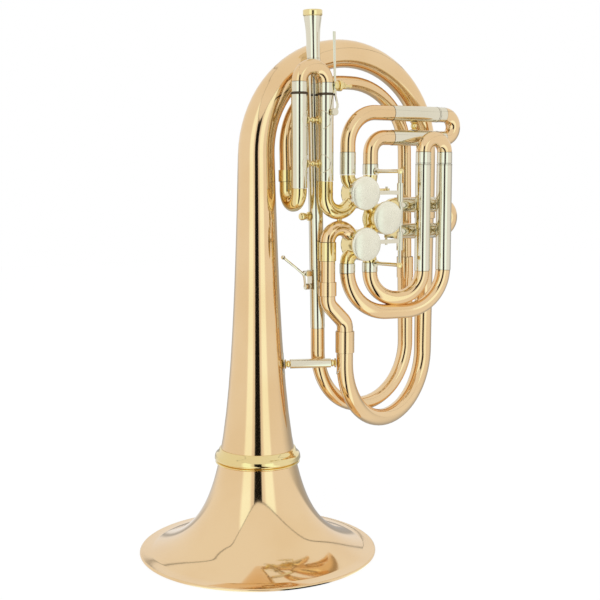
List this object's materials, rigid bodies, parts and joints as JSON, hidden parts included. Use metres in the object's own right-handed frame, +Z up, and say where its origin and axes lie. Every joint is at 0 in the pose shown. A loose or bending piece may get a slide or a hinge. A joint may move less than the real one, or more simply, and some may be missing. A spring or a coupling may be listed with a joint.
{
  "type": "bass trumpet",
  "caption": "Bass trumpet with rotary valves standing on its bell: wide flared bell, nested bows, pull slides, finger levers with pearl discs and an empty mouthpiece receiver.",
  "frame": {"origin": "on the floor, at the middle of the footprint's X and Y extents", "axes": "+Z up along the bell's axis; +X from the bell towards the valves and their slides; -Y towards the finger levers"},
  "size_m": [0.2994, 0.21, 0.4728],
  "materials": {
    "gold_brass": "clear-lacquered gold brass, polished",
    "yellow_brass": "clear-lacquered yellow brass, polished",
    "nickel_silver": "polished nickel silver",
    "pearl": "cream pearl",
    "cork": "matt cork"
  },
  "bodies": {
    "horn": {"bell_brace": "yellow_brass", "bell_flare": "gold_brass", "bell_ring": "yellow_brass", "bell_stem": "gold_brass", "bend_stay": "gold_brass", "casing_strut": "yellow_brass", "inlet_bend": "yellow_brass", "inner_arc": "gold_brass", "leadpipe_bow": "gold_brass", "leadpipe_sleeve": "nickel_silver", "lever_hinge": "nickel_silver", "lower_key_saddle": "yellow_brass", "lyre_screw": "yellow_brass", "main_bow": "gold_brass", "outlet_tube": "gold_brass", "receiver": "nickel_silver", "receiver_collar": "yellow_brass", "return_bend": "yellow_brass", "s_bend": "gold_brass", "slide1_brace": "yellow_brass", "slide1_lower_tube": "gold_brass", "slide1_upper_tube": "gold_brass", "slide2_lower_tube": "nickel_silver", "slide2_upper_tube": "nickel_silver", "slide3_inner_loop": "gold_brass", "slide3_outer_loop": "gold_brass", "stop_corks_1": "cork", "stop_corks_2": "cork", "stop_corks_3": "cork", "tuning_slide_tubes": "nickel_silver", "valve_cap_1": "yellow_brass", "valve_cap_2": "yellow_brass", "valve_cap_3": "yellow_brass", "valve_casing_1": "yellow_brass", "valve_casing_2": "yellow_brass", "valve_casing_3": "yellow_brass", "water_key_post": "yellow_brass"},
    "tuning_slide": {"tuning_slide": "gold_brass"},
    "first_slide": {"slide1": "gold_brass"},
    "second_slide": {"slide2": "gold_brass"},
    "third_slide": {"slide3": "gold_brass"},
    "upper_water_key": {"water_key": "nickel_silver", "water_key_cork": "cork"},
    "lower_water_key": {"lower_water_key": "nickel_silver", "lower_key_cork": "cork"},
    "finger_lever_1": {"lever_1": "nickel_silver", "touch_piece_1": "pearl"},
    "rotor_1": {"rotor_1": "nickel_silver", "crank_1": "yellow_brass"},
    "link_1": {"link_1": "nickel_silver"},
    "finger_lever_2": {"lever_2": "nickel_silver", "touch_piece_2": "pearl"},
    "rotor_2": {"rotor_2": "nickel_silver", "crank_2": "yellow_brass"},
    "link_2": {"link_2": "nickel_silver"},
    "finger_lever_3": {"lever_3": "nickel_silver", "touch_piece_3": "pearl"},
    "rotor_3": {"rotor_3": "nickel_silver", "crank_3": "yellow_brass"},
    "link_3": {"link_3": "nickel_silver"}
  },
  "joints": [
    {"name": "tuning_slide_pull", "type": "slide", "parent": "horn", "child": "tuning_slide", "axis": [0, 0, 1], "range_m": [0, 0.03]},
    {"name": "first_slide_pull", "type": "slide", "parent": "horn", "child": "first_slide", "axis": [1, 0, 0], "range_m": [0, 0.028]},
    {"name": "second_slide_pull", "type": "slide", "parent": "horn", "child": "second_slide", "axis": [1, 0, 0], "range_m": [0, 0.024]},
    {"name": "third_slide_pull", "type": "slide", "parent": "horn", "child": "third_slide", "axis": [0, 0, 1], "range_m": [0, 0.06]},
    {"name": "lever_1_press", "type": "hinge", "parent": "horn", "child": "finger_lever_1", "pos_m": [0.05731, -0.07, 0.3179], "axis": [0, 0, -1], "range_deg": [0, 23.5], "stiffness_Nm_per_rad": 0.06, "springref_deg": -20.05},
    {"name": "rotor_1_turn", "type": "hinge", "parent": "horn", "child": "rotor_1", "pos_m": [0.03881, -0.034, 0.3169], "axis": [0, 1, 0], "range_deg": [0, 90]},
    {"name": "link_1_turn", "type": "hinge", "parent": "rotor_1", "child": "link_1", "pos_m": [0.03556, -0.05434, 0.32015], "axis": [0, 1, 0], "range_deg": [-90, 0]},
    {"name": "lever_2_press", "type": "hinge", "parent": "horn", "child": "finger_lever_2", "pos_m": [0.05731, -0.07, 0.2979], "axis": [0, 0, -1], "range_deg": [0, 23.5], "stiffness_Nm_per_rad": 0.06, "springref_deg": -20.05},
    {"name": "rotor_2_turn", "type": "hinge", "parent": "horn", "child": "rotor_2", "pos_m": [0.06141, -0.034, 0.2943], "axis": [0, 1, 0], "range_deg": [0, 90]},
    {"name": "link_2_turn", "type": "hinge", "parent": "rotor_2", "child": "link_2", "pos_m": [0.05816, -0.05434, 0.29755], "axis": [0, 1, 0], "range_deg": [-90, 0]},
    {"name": "lever_3_press", "type": "hinge", "parent": "horn", "child": "finger_lever_3", "pos_m": [0.05731, -0.07, 0.2764], "axis": [0, 0, -1], "range_deg": [0, 23.5], "stiffness_Nm_per_rad": 0.06, "springref_deg": -20.05},
    {"name": "rotor_3_turn", "type": "hinge", "parent": "horn", "child": "rotor_3", "pos_m": [0.03881, -0.034, 0.2717], "axis": [0, 1, 0], "range_deg": [0, 90]},
    {"name": "link_3_turn", "type": "hinge", "parent": "rotor_3", "child": "link_3", "pos_m": [0.03556, -0.05434, 0.27495], "axis": [0, 1, 0], "range_deg": [-90, 0]},
    {"name": "upper_water_key_press", "type": "hinge", "parent": "horn", "child": "upper_water_key", "pos_m": [0.01391, -0.037, 0.4085], "axis": [-1, 0, 0], "range_deg": [0, 12], "stiffness_Nm_per_rad": 0.03, "springref_deg": -22.92},
    {"name": "lower_water_key_press", "type": "hinge", "parent": "horn", "child": "lower_water_key", "pos_m": [-0.00485, -0.0176, 0.247], "axis": [0, 1, 0], "range_deg": [0, 15], "stiffness_Nm_per_rad": 0.03, "springref_deg": -22.92}
  ],
  "couplings": [
    {"joint": "rotor_1_turn", "follows": "lever_1_press", "ratio": 3.829},
    {"joint": "link_1_turn", "follows": "lever_1_press", "ratio": -3.829},
    {"joint": "rotor_2_turn", "follows": "lever_2_press", "ratio": 3.829},
    {"joint": "link_2_turn", "follows": "lever_2_press", "ratio": -3.829},
    {"joint": "rotor_3_turn", "follows": "lever_3_press", "ratio": 3.829},
    {"joint": "link_3_turn", "follows": "lever_3_press", "ratio": -3.829}
  ]
}
